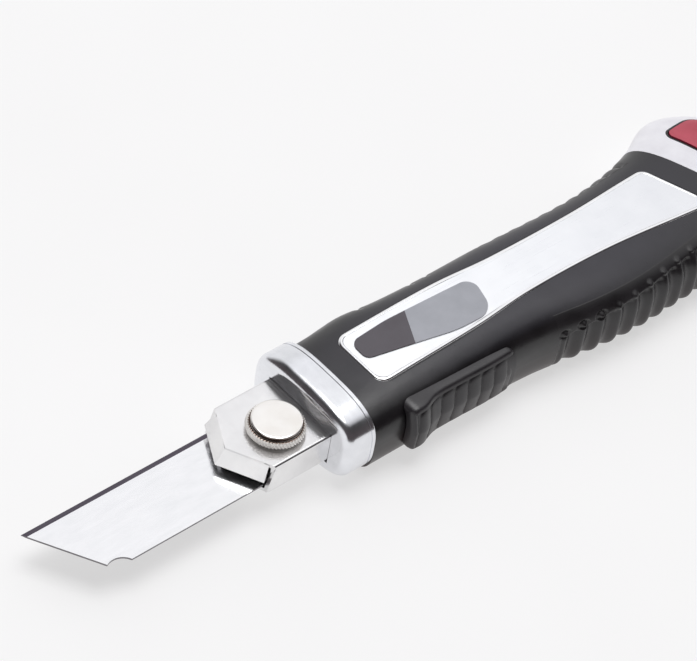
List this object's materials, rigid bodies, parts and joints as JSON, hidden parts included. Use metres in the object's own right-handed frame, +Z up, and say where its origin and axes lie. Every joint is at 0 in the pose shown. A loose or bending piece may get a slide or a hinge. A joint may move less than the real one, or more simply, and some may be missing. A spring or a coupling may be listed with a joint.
{
  "type": "hobby craft knife",
  "caption": "Heavy hobby craft knife with a slanted steel blade in a folded carrier, a knurled lock knob, a side thumb slider and a spare-blade tail cap.",
  "frame": {"origin": "on the floor under the middle of the knife", "axes": "+X from the blade tip to the tail, +Z up, thumb slider on the -Y side, cutting edge on the +Y side"},
  "size_m": [0.2138, 0.0455, 0.0202],
  "materials": {
    "blade_steel": "fine satin ground steel",
    "carrier_steel": "brushed stainless sheet",
    "nickel": "polished nickel plate",
    "satin_chrome": "satin chrome plate",
    "bright_plate": "bright satin plate",
    "polished_rim": "polished chrome rim",
    "badge_dark": "dark grey print",
    "badge_light": "light grey print",
    "black_body": "satin black moulding",
    "black_rubber": "soft satin black rubber",
    "slider_rubber": "soft dark rubber",
    "inner_plastic": "black nylon",
    "spring_steel": "plain spring steel",
    "screw_steel": "black oxide steel",
    "silver_cap": "satin silver metal",
    "red_button": "red moulding",
    "bezel_black": "black seal"
  },
  "bodies": {
    "handle": {"upper_shell": "black_body", "lower_shell": "black_body", "nose_collar": "satin_chrome", "inlay_plate": "bright_plate", "inlay_rim": "polished_rim", "badge_front": "badge_dark", "badge_rear": "badge_light", "belly_grip": "black_rubber", "finger_grip": "black_rubber", "blade_carrier": "carrier_steel", "blade_bed": "inner_plastic", "clamp_nut": "carrier_steel", "guide_rail": "carrier_steel", "detent_rack": "inner_plastic", "shell_screws": "screw_steel"},
    "blade_slider": {"blade": "blade_steel", "blade_carriage": "inner_plastic", "blade_pin": "spring_steel", "slider_core": "inner_plastic", "thumb_grip": "slider_rubber", "detent_leaf": "spring_steel"},
    "clamp": {"clamp_plate": "carrier_steel"},
    "knob": {"clamp_knob": "nickel", "clamp_screw": "nickel"},
    "magazine": {"tail_cap": "silver_cap", "cap_plug": "inner_plastic", "magazine_tray": "inner_plastic", "spare_blades": "blade_steel", "button_bezel": "bezel_black", "button_spring": "spring_steel"},
    "button": {"release_button": "red_button"}
  },
  "joints": [
    {"name": "blade_slide", "type": "slide", "parent": "handle", "child": "blade_slider", "axis": [-1, 0, 0], "range_m": [-0.008, 0.007]},
    {"name": "clamp_lift", "type": "slide", "parent": "handle", "child": "clamp", "axis": [0, 0, 1], "range_m": [-0.0002, 0.001]},
    {"name": "knob_turn", "type": "hinge", "parent": "clamp", "child": "knob", "pos_m": [-0.0489, -0.002, 0.0147], "axis": [0, 0, 1], "range_deg": [-91, 451]},
    {"name": "magazine_slide", "type": "slide", "parent": "handle", "child": "magazine", "axis": [1, 0, 0], "range_m": [0, 0.1]},
    {"name": "release_press", "type": "slide", "parent": "magazine", "child": "button", "axis": [0, 0, -1], "range_m": [0, 0.0012], "stiffness_N_per_m": 800, "springref_m": -0.001, "deforming": ["button_spring"]}
  ],
  "couplings": [
    {"joint": "knob_turn", "follows": "clamp_lift", "rad_per_m": 7854}
  ]
}
